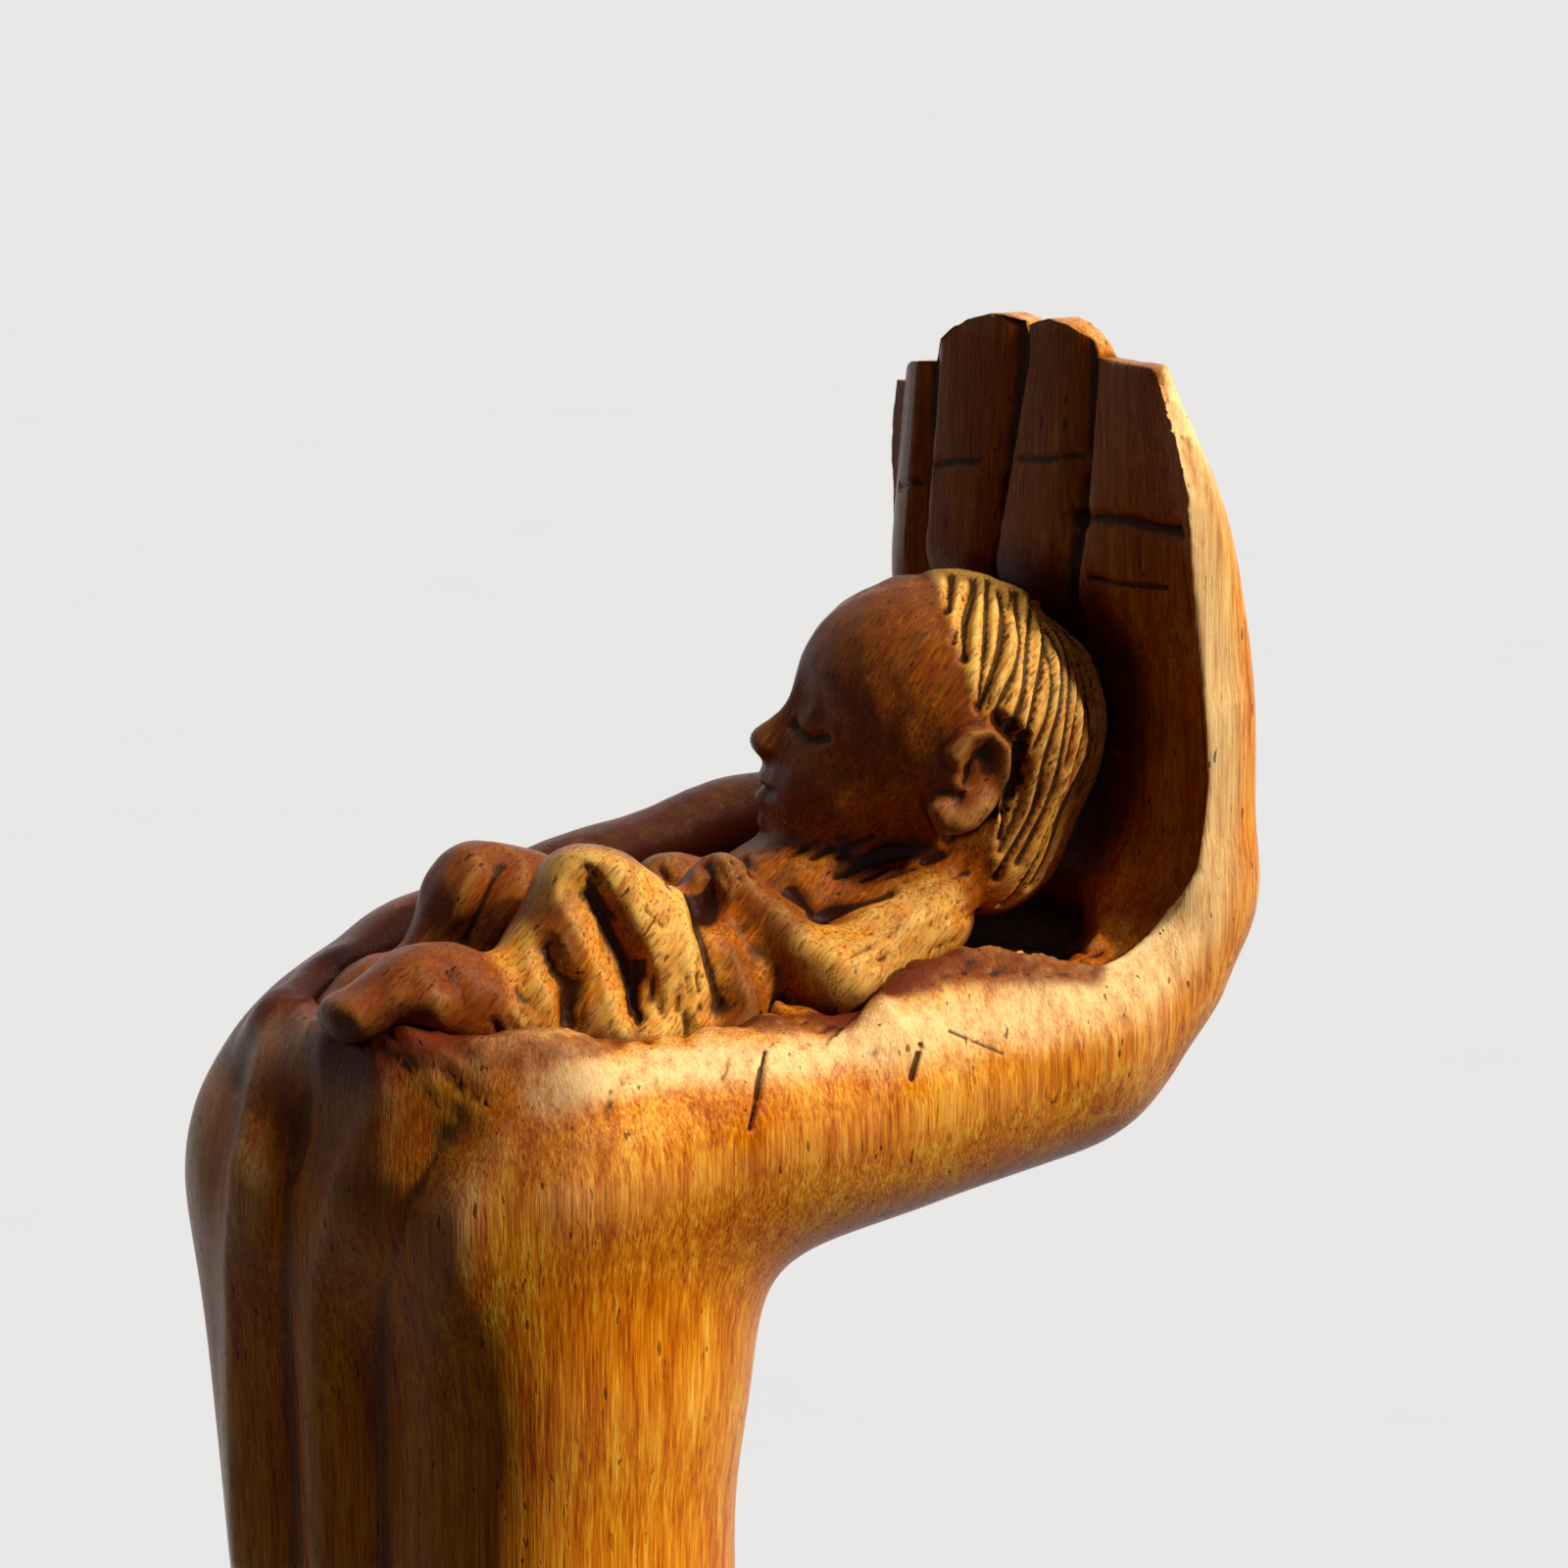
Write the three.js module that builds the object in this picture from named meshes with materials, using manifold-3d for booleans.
// Carved hardwood ornament: an open hand on an upright forearm, with a small child let into the hollow
// palm. Millimetres, +Z up. The origin is the centre of the felt foot, on the table. The palm reaches
// towards +X, the thumb lies on the +Y side and the little finger on the -Y side.

import * as THREE from "three";
import { mergeVertices } from "three/addons/utils/BufferGeometryUtils.js";
import Module from "manifold-3d";

const wasm = await Module();
wasm.setup();

// Forearm and foot. Breadth is the share by which a section is wider along Y than along X.
const FELT_THICKNESS = 1.2;
const FELT_INSET = 1.5;
const FOOT_RADIUS = 22;
const WRIST_RADIUS = 20.2;
const WRIST_HEIGHT = 58;
const FOREARM_BREADTH = 1.12;
const INNER_FLAT = 15.6;
const INNER_FLAT_TURN = 17;
const INNER_FLAT_HALF_HEIGHT = 16;
const INNER_FLAT_BLEND = 5;
const TENDON_RADIUS = 5;
const TENDON_PLACES = [2, 10];

// Palm: its middle plane at the wrist, its length to the knuckles, and its half thickness and half breadth
const PALM_HEIGHT = 87;
const PALM_LENGTH = 48;
const PALM_RISE = 4.5;
const PALM_HALF_THICKNESS = 10.6;
const PALM_HALF_BREADTH = 22;
const HYPOTHENAR_RADIUS = 10.2;
const HAND_BLEND = 7;

// Fingers, from little finger to index: the tip's height over the palm's plane, how far the back of the
// finger is set in from the little finger's, and how far its tip leans in over the palm
const FINGERS = [
  { height: 56, setback: 0, lean: 7.6 },
  { height: 59.5, setback: 1, lean: 7.8 },
  { height: 59, setback: 2.6, lean: 7.2 },
  { height: 54.5, setback: 6.8, lean: 1.2 },
];
const FINGER_SPACING = 10.8;
const FINGER_WIDTH = 11.6;
const FINGER_THICKNESS = 8.8;
const FINGERTIP_THICKNESS = 3.4;
const FINGER_SQUARENESS = 2.6;
const FINGER_BLEND = 0.8;
const WEB_THICKNESS = 3.8;
const KNUCKLE_RADIUS = 8.2;
const KNUCKLE_REACH = 15.8;

// Thumb and its pad at the heel of the hand
const THENAR_RADIUS = 13.4;
const THUMB_RADIUS = 6.4;
const THUMB_REACH = 45;
const THUMB_SIDE = 18;
const THUMB_RISE = 17.5;
const THUMB_BLEND = 2.5;

// Hollow of the palm
const HOLLOW_HALF_WIDTH = 14.5;
const HOLLOW_FLOOR = 3.5;
const HOLLOW_BLEND = 2;
const POCKET_BLEND = 3;

// Child: sizes of its own body
const HEAD_LENGTH = 27;
const HEAD_WIDTH = 23;
const HEAD_HEIGHT = 28;
const HEAD_TURN = -24;
const HEAD_LEAN = 18;
const EAR_HEIGHT = 8.5;
const NECK_RADIUS = 5.5;
const CHEST_RADIUS = 9.6;
const BELLY_RADIUS = 7.6;
const THIGH_RADIUS = 6;
const CALF_RADIUS = 4.6;
const FOOT_HALF_HEIGHT = 3.7;
const FOOT_BREADTH = 1.25;
const UPPER_ARM_RADIUS = 4.6;
const FOREARM_RADIUS = 3.6;
const FIST_RADIUS = 4;
const LIMB_BLEND = 1;

// The child's places, near side first, from the lowest point of the hollow: +X to the head, +Y to the thumb
const SEAT_ALONG = 18;
const HEAD_PLACE = [23.2, -3, 23];
const SPINE = {
  pelvis: [-4, 0, 2.4],
  belly: [3, 0, 2.6],
  chest: [12, -0.5, 6.2],
  neck: [18, -1.5, 12],
  nape: [21, -2.5, 17],
};
const LEGS = [
  {
    hip: [-3, -8.6, 4.2],
    knee: [-11.9, -7.2, 12.3],
    heel: [-10.6, -10.4, 3.4],
    instep: [-20.4, -8.2, 5],
    ball: [-27.6, -7.8, 7.2],
    toes: [-34, -7.4, 4.6],
  },
  {
    hip: [-3, 7, 4.2],
    knee: [-15.3, 6.2, 11.1],
    heel: [-15, 8, 2.6],
    instep: [-20, 6.6, 3.2],
    ball: [-24.4, 6.4, 3.4],
    toes: [-28, 6.2, 2.2],
  },
];
const ARMS = [
  { shoulder: [18.2, -8.8, 9.8], elbow: [7.6, -13.4, 4.8], fist: [0.6, -5.8, 11] },
  { shoulder: [16.4, 8, 9], elbow: [9, 12, 5], fist: [1, 2.6, 10.4] },
];

// Joints between the carvings
const SEAT_GAP = 0.4;
const POCKET_GAP = 0.75;
const DOWEL_RADIUS = 2;
const DOWEL_LENGTH = 12;
const DOWEL_CHAMFER = 0.5;
const DOWEL_PLACES = [-2, 10];
const GLUE_GAP = 0.2;

// Size of the facets, and how many straight steps a limb has between two stations
const HAND_FACET = 3.3;
const FINGER_FACET = 2.6;
const FINGER_DEPTH_FACET = 1.3;
const FOREARM_FACET = 5.2;
const CHILD_FACET = 2;
const SPINE_STEPS = 5;
const DOWEL_SIDES = 20;
const RELAXING_ROUNDS = 2;

// A form is a field, the signed distance of a point to its surface and negative inside, with the box it
// lies in.
function form(field, low, high) {
  return Object.assign(field, { low, high });
}

function smoothMin(a, b, blend) {
  const overlap = Math.max(blend - Math.abs(a - b), 0) / blend;
  return Math.min(a, b) - (overlap * overlap * blend) / 4;
}

function join(blend, first, ...others) {
  const field = (x, y, z) => {
    const start = first(x, y, z);
    return others.reduce((least, other) => smoothMin(least, other(x, y, z), blend), start);
  };
  const low = first.low.map((value, axis) => Math.min(value, ...others.map((other) => other.low[axis])));
  const high = first.high.map((value, axis) => Math.max(value, ...others.map((other) => other.high[axis])));
  return form(field, low, high);
}

function carve(blend, body, gouge) {
  return form((x, y, z) => -smoothMin(-body(x, y, z), gouge(x, y, z), blend), body.low, body.high);
}

// Distance from a spine, of three steps that are never negative: round where squareness is 2, and nearer to
// a box where it is more.
function norm(x, y, z, squareness) {
  if (squareness === 2) return Math.sqrt(x * x + y * y + z * z);
  return (x ** squareness + y ** squareness + z ** squareness) ** (1 / squareness);
}

// A limb swells and tapers round a smooth spine. Its stations are [x, y, z, radius, breadth], where breadth
// stretches the section along Y and is 1 where it is left out.
function limb(stations, squareness = 2) {
  const spine = new THREE.CatmullRomCurve3(stations.map(([x, y, z]) => new THREE.Vector3(x, y, z)));
  const sizes = stations.map(([, , , radius, breadth = 1]) => new THREE.Vector2(radius, breadth));
  const section = new THREE.SplineCurve(sizes);
  const count = (stations.length - 1) * SPINE_STEPS;
  const beads = Array.from({ length: count + 1 }, (unused, i) => {
    const { x: radius, y: breadth } = section.getPoint(i / count);
    return { ...spine.getPoint(i / count), radius, breadth };
  });
  const bones = beads.slice(1).map((end, i) => {
    const start = beads[i];
    const along = { x: end.x - start.x, y: end.y - start.y, z: end.z - start.z };
    const grow = { radius: end.radius - start.radius, breadth: end.breadth - start.breadth };
    return { start, along, grow, square: along.x ** 2 + along.y ** 2 + along.z ** 2 };
  });
  const field = (x, y, z) => {
    let least = Infinity;
    for (const { start, along, grow, square } of bones) {
      const dx = x - start.x;
      const dy = y - start.y;
      const dz = z - start.z;
      const share = THREE.MathUtils.clamp((dx * along.x + dy * along.y + dz * along.z) / square, 0, 1);
      const ahead = Math.abs(dx - share * along.x);
      const across = Math.abs(dy - share * along.y) / (start.breadth + share * grow.breadth);
      const above = Math.abs(dz - share * along.z);
      const radius = start.radius + share * grow.radius;
      if (Math.max(ahead, across, above) - radius >= least) continue;
      least = Math.min(least, norm(ahead, across, above, squareness) - radius);
    }
    return least;
  };
  const edge = (side) => ["x", "y", "z"].map((axis) => {
    const places = beads.map((bead) => bead[axis] + side * bead.radius * (axis === "y" ? bead.breadth : 1));
    return side < 0 ? Math.min(...places) : Math.max(...places);
  });
  return form(field, edge(-1), edge(1));
}

// An egg is an ellipsoid of three half sizes, turned about Z and then leaned about its own Y axis.
function egg(centre, [a, b, c], turn = 0, lean = 0) {
  const turned = new THREE.Matrix4().makeRotationFromEuler(new THREE.Euler(0, lean, turn, "ZYX"));
  const toEgg = turned.setPosition(...centre).invert();
  const point = new THREE.Vector3();
  const field = (x, y, z) => {
    point.set(x, y, z).applyMatrix4(toEgg);
    const near = norm(point.x / a, point.y / b, point.z / c, 2);
    const steep = norm(point.x / (a * a), point.y / (b * b), point.z / (c * c), 2);
    return steep > 0 ? (near * (near - 1)) / steep : -Math.min(a, b, c);
  };
  const reach = Math.max(a, b, c);
  return form(field, centre.map((value) => value - reach), centre.map((value) => value + reach));
}

// Grid lines between stops, at most the given step apart in each stretch
function ruled(stops, steps) {
  const lines = steps.flatMap((step, i) => {
    const span = stops[i + 1] - stops[i];
    const count = Math.ceil(span / step);
    return Array.from({ length: count }, (unused, k) => stops[i] + (span * k) / count);
  });
  return [...lines, stops.at(-1)];
}

// Corner numbers of a grid cell hold one bit for each axis. An edge runs along its axis from its low
// corner.
const AXES = [0, 1, 2];
const CORNERS = [...Array(2 ** AXES.length).keys()];
const bitOf = (corner, axis) => (corner >> axis) & 1;
const CELL_EDGES = AXES.flatMap((axis) => {
  const lows = CORNERS.filter((corner) => !bitOf(corner, axis));
  return lows.map((low) => ({ axis, low, high: low | (1 << axis) }));
});
const CELL_FACES = AXES.flatMap((axis) =>
  [0, 1].map((side) => {
    const onFace = ({ low, high }) => bitOf(low, axis) === side && bitOf(high, axis) === side;
    return CELL_EDGES.flatMap((edge, i) => (onFace(edge) ? [i] : []));
  }),
);
const edgeNumber = (axis, low) => CELL_EDGES.findIndex((edge) => edge.axis === axis && edge.low === low);

// Splits the crossed edges of one cell into the separate sheets of surface that pass through it.
function sheetsOf(inside) {
  const sheet = CELL_EDGES.map(({ low, high }, i) => (inside[low] === inside[high] ? -1 : i));
  const unite = (a, b) => {
    const [from, to] = [sheet[a], sheet[b]];
    sheet.forEach((value, i) => {
      sheet[i] = value === from ? to : value;
    });
  };
  for (const face of CELL_FACES) {
    const crossed = face.filter((i) => sheet[i] >= 0);
    if (crossed.length === 2) unite(crossed[0], crossed[1]);
    if (crossed.length === 4) {
      for (const corner of CORNERS.filter((number) => inside[number])) {
        const touching = crossed.filter((i) => CELL_EDGES[i].low === corner || CELL_EDGES[i].high === corner);
        if (touching.length === 2) unite(touching[0], touching[1]);
      }
    }
  }
  return sheet;
}

// Moves a vertex along the field's slope until it lies on the surface.
function settle(field, point, reach) {
  const probe = reach / 50;
  const gentlest = 0.2;
  for (let round = 0; round < 3; round += 1) {
    const slope = AXES.map((axis) => {
      const [ahead, behind] = [1, -1].map((side) => point.map((v, i) => (i === axis ? v + side * probe : v)));
      return (field(...ahead) - field(...behind)) / (2 * probe);
    });
    const square = slope.reduce((sum, value) => sum + value * value, 0);
    const move = THREE.MathUtils.clamp(field(...point) / Math.max(square, gentlest), -reach, reach);
    point.forEach((value, axis) => {
      point[axis] = value - move * slope[axis];
    });
  }
}

// Evens out the facets: every vertex moves half way to the middle of its neighbours and back onto the
// surface.
function relax(field, vertices, triangles, reach) {
  const sums = vertices.map(() => [0, 0, 0, 0]);
  triangles.forEach((from, i) => {
    const to = triangles[i % 3 === 2 ? i - 2 : i + 1];
    [...vertices[to], 1].forEach((value, k) => {
      sums[from][k] += value;
    });
  });
  vertices.forEach((point, n) => {
    AXES.forEach((axis) => {
      point[axis] = (point[axis] + sums[n][axis] / sums[n][3]) / 2;
    });
    settle(field, point, reach);
  });
}

// Wraps the surface of a field in a closed mesh: one vertex for each sheet of surface in a grid cell, and
// one four-sided face, cut along its shorter diagonal, for each grid edge that the surface crosses.
function skin(field, rulings, reach) {
  const sizes = rulings.map((lines) => lines.length);
  const strides = [1, sizes[0], sizes[0] * sizes[1]];
  const values = new Float64Array(sizes[0] * sizes[1] * sizes[2]);
  const cells = [];
  for (let n = 0; n < values.length; n += 1) {
    const cell = AXES.map((axis) => Math.floor(n / strides[axis]) % sizes[axis]);
    values[n] = field(...cell.map((line, axis) => rulings[axis][line]));
    if (cell.every((line, axis) => line < sizes[axis] - 1)) cells.push({ n, cell });
  }
  const stepTo = CORNERS.map((corner) =>
    AXES.reduce((sum, axis) => sum + bitOf(corner, axis) * strides[axis], 0),
  );
  const vertices = [];
  const vertexOf = new Map();
  const keyOf = (n, edge) => n * CELL_EDGES.length + edge;
  for (const { n, cell } of cells) {
    const corners = stepTo.map((step) => values[n + step]);
    const inside = corners.map((value) => value < 0);
    if (inside.every(Boolean) || !inside.some(Boolean)) continue;
    const sheet = sheetsOf(inside);
    for (const name of new Set(sheet.filter((value) => value >= 0))) {
      const edges = CELL_EDGES.filter((edge, i) => sheet[i] === name);
      const point = [0, 0, 0];
      for (const { axis, low, high } of edges) {
        const share = corners[low] / (corners[low] - corners[high]);
        cell.forEach((line, i) => {
          const part = i === axis ? share : bitOf(low, i);
          point[i] += THREE.MathUtils.lerp(rulings[i][line], rulings[i][line + 1], part) / edges.length;
        });
      }
      settle(field, point, reach);
      sheet.forEach((value, i) => value === name && vertexOf.set(keyOf(n, i), vertices.length));
      vertices.push(point);
    }
  }
  const triangles = [];
  const apart = (a, b) => AXES.reduce((sum, axis) => sum + (vertices[a][axis] - vertices[b][axis]) ** 2, 0);
  const around = [[0, 0], [1, 0], [1, 1], [0, 1]];
  for (const { n } of cells) {
    for (const axis of AXES) {
      const starts = values[n] < 0;
      if (starts === values[n + strides[axis]] < 0) continue;
      const [u, v] = [(axis + 1) % 3, (axis + 2) % 3];
      const ring = around.map(([back, down]) => {
        const edge = edgeNumber(axis, (back << u) + (down << v));
        return vertexOf.get(keyOf(n - back * strides[u] - down * strides[v], edge));
      });
      const [a, b, c, d] = starts ? ring : ring.reverse();
      if (apart(a, c) < apart(b, d)) triangles.push(a, b, c, a, c, d);
      else triangles.push(a, b, d, b, c, d);
    }
  }
  for (let round = 0; round < RELAXING_ROUNDS; round += 1) relax(field, vertices, triangles, reach);
  const geometry = new THREE.BufferGeometry();
  geometry.setAttribute("position", new THREE.Float32BufferAttribute(vertices.flat(), 3));
  geometry.setIndex(triangles);
  return geometry;
}

// Solids for cutting and joining, and back to a mesh's geometry
function solid(geometry) {
  const bare = geometry.clone();
  bare.deleteAttribute("normal");
  bare.deleteAttribute("uv");
  const merged = mergeVertices(bare, 1e-4);
  const vertProperties = new Float32Array(merged.attributes.position.array);
  const triVerts = new Uint32Array(merged.index.array);
  return new wasm.Manifold(new wasm.Mesh({ numProp: 3, vertProperties, triVerts }));
}

function shape(manifold) {
  const { vertProperties, triVerts } = manifold.getMesh();
  const geometry = new THREE.BufferGeometry();
  geometry.setAttribute("position", new THREE.Float32BufferAttribute(vertProperties, 3));
  geometry.setIndex([...triVerts]);
  geometry.computeVertexNormals();
  return geometry;
}

const middle = (a, b) => a.map((value, i) => (value + b[i]) / 2);

// The palm's middle plane rises evenly from the wrist to the knuckles.
const palmPlane = (x) => PALM_HEIGHT + (PALM_RISE * x) / PALM_LENGTH;

// Forearm: narrowest at the wrist, spreading a little to the foot and into the heel of the hand. Its
// rounded lower end is sawn off flat at the felt.
function forearm() {
  const carpus = palmPlane(0) - 1.8 * PALM_HALF_THICKNESS;
  const heel = palmPlane(0) - 0.85 * PALM_HALF_THICKNESS;
  return limb([
    [0, 0, 0, FOOT_RADIUS, FOREARM_BREADTH],
    [-0.02 * WRIST_RADIUS, 0, WRIST_HEIGHT, WRIST_RADIUS, FOREARM_BREADTH],
    [0.02 * WRIST_RADIUS, 0, carpus, 1.06 * WRIST_RADIUS, FOREARM_BREADTH],
    [-0.05 * WRIST_RADIUS, 0, heel, 0.93 * WRIST_RADIUS, FOREARM_BREADTH],
  ]);
}

// The inner side of the wrist is planed flat, turned a little to the near side. Above and below, the flat
// runs out of the wood on a slope.
function innerFlat() {
  const turn = THREE.MathUtils.degToRad(INNER_FLAT_TURN);
  const slope = 0.3;
  return (x, y, z) => {
    const beyond = Math.abs(z - 0.95 * WRIST_HEIGHT) - INNER_FLAT_HALF_HEIGHT;
    return INNER_FLAT + slope * Math.max(beyond, 0) + x * Math.cos(turn) + y * Math.sin(turn);
  };
}

// Tendons stand out along the flat.
function tendon(side) {
  const depth = INNER_FLAT + side * Math.sin(THREE.MathUtils.degToRad(INNER_FLAT_TURN)) - 0.7 * TENDON_RADIUS;
  return limb([
    [-depth, side, 0.4 * WRIST_HEIGHT, 0.6 * TENDON_RADIUS],
    [-depth, side, WRIST_HEIGHT, TENDON_RADIUS],
    [-0.82 * WRIST_RADIUS, side, PALM_HEIGHT - 0.57 * PALM_HALF_THICKNESS, TENDON_RADIUS],
  ]);
}

// The palm between its pads. Each row is a share of its length and of its half thickness.
function palm() {
  const breadth = PALM_HALF_BREADTH / PALM_HALF_THICKNESS;
  const rows = [[-0.06, 1], [0.5, 1], [1, 0.93]];
  return limb(
    rows.map(([share, thick]) => {
      const x = share * PALM_LENGTH;
      return [x, 0, palmPlane(x), thick * PALM_HALF_THICKNESS, breadth];
    }),
  );
}

// Pad along the near edge of the palm, from the heel to the root of the little finger. Each row is a share
// of the palm's length, and shares of the pad's radius: its step in from the edge, drop below the palm's
// plane and radius.
function hypothenar() {
  const side = 0.86 * HYPOTHENAR_RADIUS - PALM_HALF_BREADTH;
  const rows = [
    [-0.12, 0.36, 0.5, 1],
    [0.06, 0.1, 0.22, 1],
    [0.5, 0, 0.26, 1],
    [0.79, 0, 0.1, 0.98],
    [0.96, 0, 0.08, 0.92],
  ];
  return limb(
    rows.map(([along, ...shares]) => {
      const [step, drop, radius] = shares.map((share) => share * HYPOTHENAR_RADIUS);
      const x = along * PALM_LENGTH;
      return [x, side + step, palmPlane(x) - drop, radius];
    }),
  );
}

// Root of a finger: it leaves the palm at its knuckle and turns up. Each row holds shares of the knuckle's
// radius: the step in from the finger's back, the rise over the palm's plane and the radius.
function knuckle({ setback }, index) {
  const side = fingerSide(index);
  const back = PALM_LENGTH + KNUCKLE_REACH - setback;
  const rows = [[2.1, 0, 1, 0.86], [1.13, 0.6, 0.87, 0.92], [0.59, 1.5, 0.66, 0.97]];
  return limb(
    rows.map(([step, rise, radius, spread]) => [
      back - step * KNUCKLE_RADIUS,
      spread * side,
      palmPlane(PALM_LENGTH) + rise * KNUCKLE_RADIUS,
      radius * KNUCKLE_RADIUS,
      1.2,
    ]),
  );
}

// Stations of a finger's upright, thinner towards its tip and leaning in over the palm. Each row is a share
// of the finger's height, of its lean and of the way from full to tip thickness.
function uprightOf({ height, setback, lean }, index) {
  const back = PALM_LENGTH + KNUCKLE_REACH - setback;
  const rise = height - FINGERTIP_THICKNESS / 2;
  const rows = [[0.2, 0.06, 0], [0.36, 0, 0], [0.54, 0.07, 0.06], [0.78, 0.43, 0.3], [1, 1, 1]];
  return rows.map(([up, over, thin]) => {
    const half = THREE.MathUtils.lerp(FINGER_THICKNESS, FINGERTIP_THICKNESS, thin) / 2;
    return [back - over * lean - half, fingerSide(index), palmPlane(PALM_LENGTH) + up * rise, half];
  });
}

function fingerSide(index) {
  return (index - (FINGERS.length - 1) / 2) * FINGER_SPACING;
}

// The upright of a finger is nearly square across.
function finger(digit, index) {
  const stations = uprightOf(digit, index).map(([x, y, z, half]) => [x, y, z, half, FINGER_WIDTH / 2 / half]);
  return limb(stations, FINGER_SQUARENESS);
}

// The wood left at the bottom of the groove between a finger and the next one
function web(digit, index) {
  const next = uprightOf(FINGERS[index + 1], index + 1);
  return limb(
    uprightOf(digit, index).map((here, row) => {
      const [x, y, z] = middle(here, next[row]);
      return [x, y, z, WEB_THICKNESS / 2];
    }),
  );
}

// The smooth wall that the lower halves of the fingers share inside the hand. Each row holds shares of the
// knuckle's radius: the step in from the fingers' backs, the rise and the half thickness.
function fingerWall() {
  const back = PALM_LENGTH + KNUCKLE_REACH;
  const halfBreadth = 1.55 * FINGER_SPACING;
  const rows = [[1.7, 0.25, 0.56], [0.85, 1.5, 0.44], [0.6, 3.3, 0.3]];
  return limb(
    rows.map(([step, rise, thick]) => {
      const half = thick * KNUCKLE_RADIUS;
      const z = palmPlane(PALM_LENGTH) + rise * KNUCKLE_RADIUS;
      return [back - step * KNUCKLE_RADIUS, 0, z, half, halfBreadth / half];
    }),
  );
}

// Pad at the root of the thumb, rising out of the wrist on the far side.
function thenar() {
  return limb([
    [-0.05 * WRIST_RADIUS, 0.1 * THUMB_SIDE, 0.62 * WRIST_HEIGHT, 0.8 * WRIST_RADIUS],
    [-0.24 * WRIST_RADIUS, 0.36 * THUMB_SIDE, 1.1 * WRIST_HEIGHT, 0.8 * WRIST_RADIUS],
    [-0.56 * THENAR_RADIUS, 0.64 * THUMB_SIDE, PALM_HEIGHT - 0.28 * THUMB_RISE, THENAR_RADIUS],
    [0.22 * THENAR_RADIUS, 0.86 * THUMB_SIDE, PALM_HEIGHT + 0.26 * THUMB_RISE, 0.78 * THENAR_RADIUS],
  ]);
}

// The thumb lies along the far edge of the palm, with its tip at the root of the index finger. Each row
// holds shares of the thumb's reach, side, rise and radius.
function thumb() {
  const rows = [
    [0.1, 0.9, 0.35, 1.4],
    [0.4, 1, 0.66, 1.15],
    [0.6, 1.04, 0.8, 0.96],
    [0.8, 1.04, 0.93, 1],
    [1, 1, 1, 0.78],
  ];
  return limb(
    rows.map(([along, out, up, thick]) => [
      along * THUMB_REACH,
      out * THUMB_SIDE,
      PALM_HEIGHT + up * THUMB_RISE,
      thick * THUMB_RADIUS,
    ]),
  );
}

// The gouged hollow that holds the child, open towards the heel of the hand and the fingertips, and widened
// towards the near edge beside the child's head. Each row holds a share of the palm's length, shares of the
// hollow's half width for its step to the side, its rise over the floor and its radius, and its breadth.
function hollow() {
  const half = HOLLOW_HALF_WIDTH;
  const rows = [
    [-0.54, 0, 1.14, 0.8, 1],
    [-0.2, 0, 1.1, 0.94, 1],
    [0.17, 0, 1.03, 1, 1],
    [0.5, -0.05, 1, 1, 1.03],
    [0.85, -0.2, 0.93, 0.96, 1.18],
    [0.87, -0.1, 2.2, 0.95, 1.35],
    [0.8, 0, 3.6, 0.95, 1.4],
  ];
  return limb(
    rows.map(([along, aside, lift, radius, breadth]) => {
      const x = along * PALM_LENGTH;
      const z = palmPlane(Math.max(x, 0)) + HOLLOW_FLOOR + lift * half;
      return [x, aside * half, z, radius * half, breadth];
    }),
  );
}

const arm = carve(INNER_FLAT_BLEND, join(HAND_BLEND, forearm(), thenar()), innerFlat());
const wrist = join(TENDON_RADIUS / 2, arm, ...TENDON_PLACES.map(tendon));
const pad = join(HAND_BLEND, wrist, palm(), hypothenar());
const knuckles = join(FINGER_BLEND, ...FINGERS.map(knuckle));
const fingers = join(FINGER_BLEND, ...FINGERS.map(finger), ...FINGERS.slice(0, -1).map(web));
const blank = join(THUMB_BLEND, pad, thumb(), fingers, fingerWall(), knuckles);
const hollowed = carve(HOLLOW_BLEND, blank, hollow());

// The child's places are measured from the lowest point of the hollow.
const SEAT = [SEAT_ALONG, 0, palmPlane(SEAT_ALONG) + HOLLOW_FLOOR];
const inSeat = (place) => place.map((value, axis) => SEAT[axis] + value);
const station = (place, radius, breadth) => [...inSeat(place), radius, breadth];

// The head lies back against the fingers and is turned a little towards the thumb. Forms on it are placed
// by shares of its half length, half width and half height.
function childHead() {
  const halves = [HEAD_LENGTH / 2, HEAD_WIDTH / 2, HEAD_HEIGHT / 2];
  const centre = new THREE.Vector3(...inSeat(HEAD_PLACE));
  const [turn, lean] = [HEAD_TURN, HEAD_LEAN].map(THREE.MathUtils.degToRad);
  const onHead = new THREE.Euler(0, lean, turn, "ZYX");
  const lump = (place, size, twist = 0) => {
    const offset = new THREE.Vector3(...place.map((share, axis) => share * halves[axis])).applyEuler(onHead);
    const ownHalves = size.map((share, axis) => share * halves[axis]);
    return egg(offset.add(centre).toArray(), ownHalves, turn + twist, lean);
  };
  const skull = lump([0.04, 0, 0.17], [1, 1, 0.86]);
  const nape = lump([0.34, 0, -0.44], [0.63, 0.79, 0.57]);
  const jaw = lump([-0.4, 0, -0.49], [0.54, 0.67, 0.5]);
  const nose = lump([-0.92, 0, -0.3], [0.13, 0.14, 0.13]);
  const earHalf = EAR_HEIGHT / HEAD_HEIGHT;
  const earSize = [0.6 * earHalf, 0.15, earHalf];
  const ears = [-1, 1].map((side) => lump([0.11, side, -0.14], earSize, 0.35 * side));
  return join(LIMB_BLEND, join(4 * LIMB_BLEND, skull, nape, jaw), nose, ...ears);
}

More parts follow.
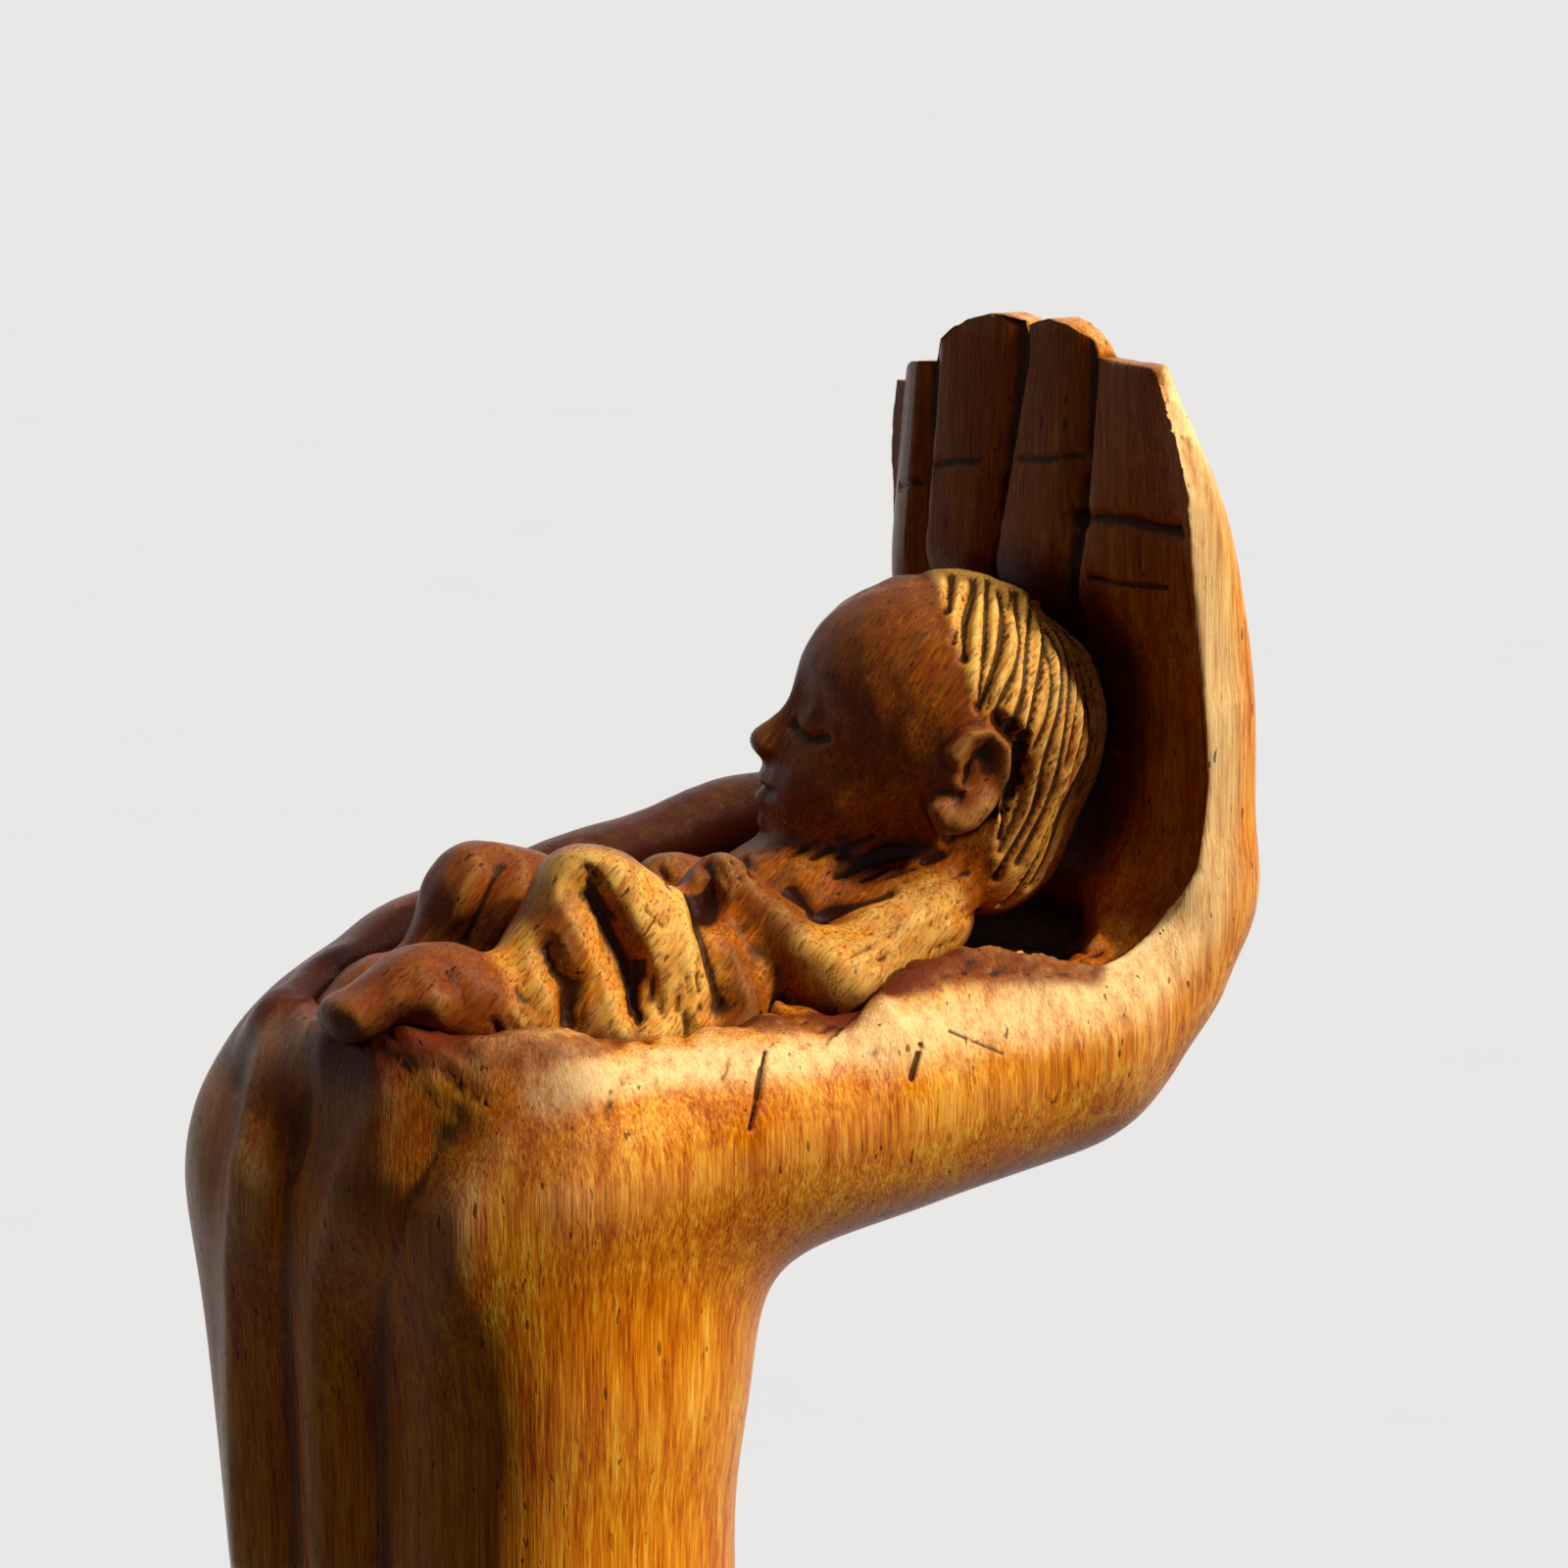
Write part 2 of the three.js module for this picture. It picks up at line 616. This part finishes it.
function childTorso() {
  const { pelvis, belly, chest, neck, nape } = SPINE;
  return limb([
    station(pelvis, BELLY_RADIUS, 1.2),
    station(belly, BELLY_RADIUS, 1.2),
    station(chest, CHEST_RADIUS, 1.14),
    station(neck, NECK_RADIUS * 1.1, 1),
    station(nape, NECK_RADIUS, 1),
  ]);
}

// A leg is drawn up: thigh and calf fold at the knee, and the shin runs down into a plump foot.
function childLeg({ hip, knee, heel, instep, ball, toes }) {
  const thigh = limb([
    station(hip, 1.06 * THIGH_RADIUS),
    station(middle(hip, knee), 1.03 * THIGH_RADIUS),
    station(knee, 0.84 * THIGH_RADIUS),
  ]);
  const calf = limb([station(knee, CALF_RADIUS), station(heel, 0.92 * CALF_RADIUS)]);
  const shin = limb([station(knee, 1.04 * CALF_RADIUS), station(instep, 0.9 * CALF_RADIUS)]);
  const foot = limb([
    station(heel, 1.1 * FOOT_HALF_HEIGHT),
    station(instep, 1.08 * FOOT_HALF_HEIGHT),
    station(ball, 1.08 * FOOT_HALF_HEIGHT, FOOT_BREADTH),
    station(toes, 0.75 * FOOT_HALF_HEIGHT, FOOT_BREADTH),
  ]);
  return join(LIMB_BLEND, thigh, calf, shin, foot);
}

// Arms bend at the elbow so that both fists lie on the chest.
function childArm({ shoulder, elbow, fist }) {
  const bend = station(elbow, 0.87 * UPPER_ARM_RADIUS);
  const upper = limb([station(shoulder, 1.08 * UPPER_ARM_RADIUS), bend]);
  const lower = limb([bend, station(fist, FOREARM_RADIUS)]);
  const hand = egg(inSeat(fist), [FIST_RADIUS, 0.9 * FIST_RADIUS, FIST_RADIUS]);
  return join(LIMB_BLEND, upper, lower, hand);
}

const limbs = [...LEGS.map(childLeg), ...ARMS.map(childArm)];
const childForms = join(LIMB_BLEND, childTorso(), childHead(), ...limbs);

// Elbows, heels and feet sink into pockets in the palm, a little roomier than they are, and the child's
// underside is trimmed to the hollow with the seat gap between them.
const limbsInPalm = join(POCKET_BLEND, ...limbs);
const pockets = (x, y, z) => limbsInPalm(x, y, z) - POCKET_GAP;
const handForm = carve(POCKET_BLEND / 3, hollowed, pockets);
const trimmed = (x, y, z) => Math.max(childForms(x, y, z), SEAT_GAP - handForm(x, y, z));
const childForm = form(trimmed, childForms.low, childForms.high);

function dowelGeometry(radius, length) {
  const half = length / 2;
  const profile = [
    [0, -half],
    [radius - DOWEL_CHAMFER, -half],
    [radius, DOWEL_CHAMFER - half],
    [radius, half - DOWEL_CHAMFER],
    [radius - DOWEL_CHAMFER, half],
    [0, half],
  ];
  const points = profile.map(([x, y]) => new THREE.Vector2(x, y));
  return new THREE.LatheGeometry(points, DOWEL_SIDES).rotateX(Math.PI / 2);
}

function feltGeometry() {
  const outline = new THREE.Shape();
  const half = FOOT_RADIUS - FELT_INSET;
  outline.absellipse(0, 0, half, half * FOREARM_BREADTH, 0, 2 * Math.PI);
  const pressing = { depth: FELT_THICKNESS, bevelEnabled: false, curveSegments: 24 };
  return new THREE.ExtrudeGeometry(outline, pressing);
}

// Dowels stand half in the palm and half in the child, in bores with room for the glue.
const dowelPlaces = DOWEL_PLACES.map((along) => inSeat([along, 0, SEAT_GAP / 2]));
const boreGeometry = dowelGeometry(DOWEL_RADIUS + GLUE_GAP, DOWEL_LENGTH + 2 * GLUE_GAP);
const bores = dowelPlaces.map((place) => solid(boreGeometry.clone().translate(...place)));
const bored = (wood) => bores.reduce((left, bore) => left.subtract(bore), wood);

// The hand's grid is finer at the fingers, most of all through their thickness, and coarser down the
// forearm.
function handSolid() {
  const low = handForm.low.map((value) => value - HAND_FACET);
  const high = handForm.high.map((value) => value + HAND_FACET);
  const rulings = [
    ruled([low[0], PALM_LENGTH, high[0]], [HAND_FACET, FINGER_DEPTH_FACET]),
    ruled([low[1], high[1]], [FINGER_FACET]),
    ruled(
      [low[2], WRIST_HEIGHT, PALM_HEIGHT + PALM_HALF_THICKNESS, high[2]],
      [FOREARM_FACET, HAND_FACET, FINGER_FACET],
    ),
  ];
  const side = 4 * FOOT_RADIUS;
  const saw = new THREE.BoxGeometry(side, side, side).translate(0, 0, FELT_THICKNESS - side / 2);
  return bored(solid(skin(handForm, rulings, HAND_FACET / 2)).subtract(solid(saw)));
}

function childSolid() {
  const rulings = AXES.map((axis) => {
    const stops = [childForm.low[axis] - CHILD_FACET, childForm.high[axis] + CHILD_FACET];
    return ruled(stops, [CHILD_FACET]);
  });
  return bored(solid(skin(childForm, rulings, CHILD_FACET / 2)));
}

function piece(name, geometry, color, roughness) {
  const mesh = new THREE.Mesh(geometry, new THREE.MeshStandardMaterial({ color, roughness, metalness: 0 }));
  mesh.name = name;
  return mesh;
}

const ornament = new THREE.Group();
ornament.add(piece("hand", shape(handSolid()), 0x9a5a1c, 0.42));
ornament.add(piece("child", shape(childSolid()), 0x8a4a1a, 0.5));
["hip_dowel", "shoulder_dowel"].forEach((name, i) => {
  const dowel = piece(name, dowelGeometry(DOWEL_RADIUS, DOWEL_LENGTH), 0xc9a26b, 0.7);
  dowel.position.set(...dowelPlaces[i]);
  ornament.add(dowel);
});
ornament.add(piece("base_felt", feltGeometry(), 0x2e4a34, 0.95));

export default ornament;
